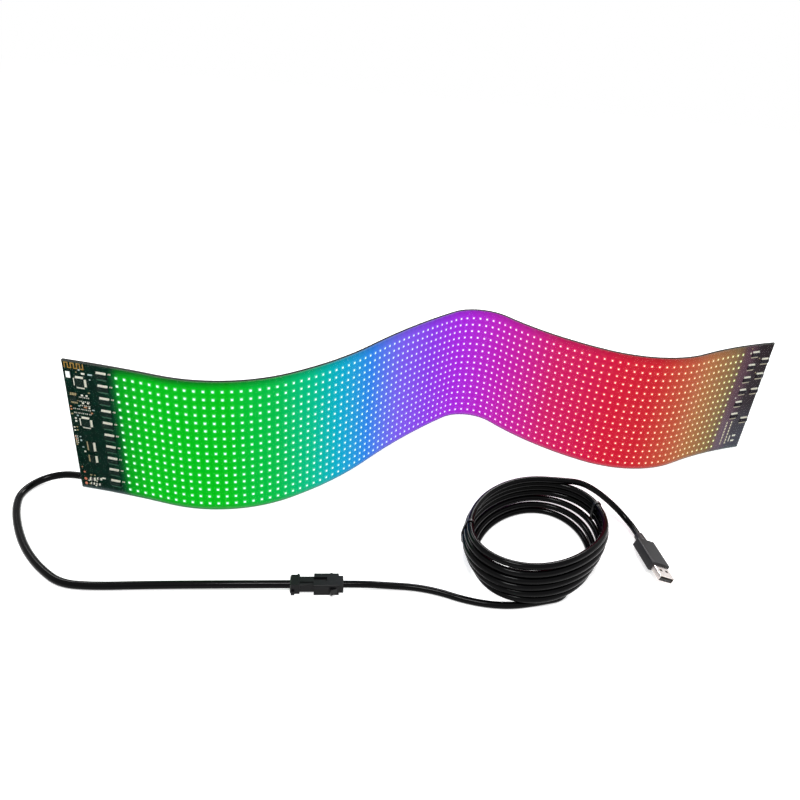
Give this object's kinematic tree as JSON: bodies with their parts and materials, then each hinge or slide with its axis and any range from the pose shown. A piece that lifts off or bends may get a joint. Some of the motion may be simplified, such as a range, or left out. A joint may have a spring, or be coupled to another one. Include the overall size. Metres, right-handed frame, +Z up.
{
  "type": "flexible light display",
  "caption": "Thin flexible sheet with a grid of coloured lights under a clear cover, bent into a wave on its long edge, with a coiled supply cord and a flat supply plug.",
  "frame": {"origin": "middle of the sheet's box in plan, on the surface that its long lower edge stands on", "axes": "+X along the sheet's box from the driver end to the tail end, -Y towards the lit side, +Z up"},
  "size_m": [0.6064, 0.2747, 0.11],
  "materials": {
    "rear_silicone": "matte soft black film",
    "circuit_board": "satin dark solder mask",
    "clear_silicone": "clear glossy soft cover",
    "lights_1": "lit green",
    "lights_2": "lit azure",
    "lights_3": "lit violet",
    "lights_4": "lit crimson",
    "lights_5": "lit red",
    "lights_6": "lit amber",
    "chip_plastic": "matte moulded chip body",
    "tinned_leads": "tinned",
    "can_metal": "bright drawn can",
    "chip_parts": "fired ceramic",
    "copper": "gilded copper",
    "solder": "solder over copper",
    "moulded_black": "moulded, satin",
    "cord_black": "glossy soft jacket",
    "tie_black": "soft black strap",
    "terminal_metal": "plated contact",
    "shell_metal": "folded bright steel",
    "tongue_plastic": "moulded insulator"
  },
  "bodies": {
    "root": {"antenna_trace": "copper", "bypass_capacitors": "chip_parts", "chip_leads": "tinned_leads", "clear_cover": "clear_silicone", "coil_ties": "tie_black", "crystal_can": "can_metal", "driver_chips": "chip_plastic", "flex_board": "circuit_board", "gate_chip": "chip_plastic", "inlet_parts": "chip_parts", "lead_anchor": "moulded_black", "light_block_1": "lights_1", "light_block_2": "lights_2", "light_block_3": "lights_3", "light_block_4": "lights_4", "light_block_5": "lights_5", "light_block_6": "lights_6", "link_pads": "copper", "memory_chip": "chip_plastic", "pin_terminals": "terminal_metal", "plug_contacts": "terminal_metal", "plug_grip": "moulded_black", "plug_shell": "shell_metal", "plug_tongue": "tongue_plastic", "power_lead": "cord_black", "rear_film": "rear_silicone", "resistors": "chip_parts", "shroud_housing": "moulded_black", "socket_housing": "moulded_black", "socket_terminals": "terminal_metal", "solder_joints": "solder", "square_chips": "chip_plastic", "supply_coil": "cord_black", "supply_lead": "cord_black", "supply_tail": "cord_black", "switch_chip": "chip_plastic", "tail_chip_leads": "tinned_leads", "tail_edge_chips": "chip_plastic", "tail_row_chips": "chip_plastic"}
  },
  "joints": []
}
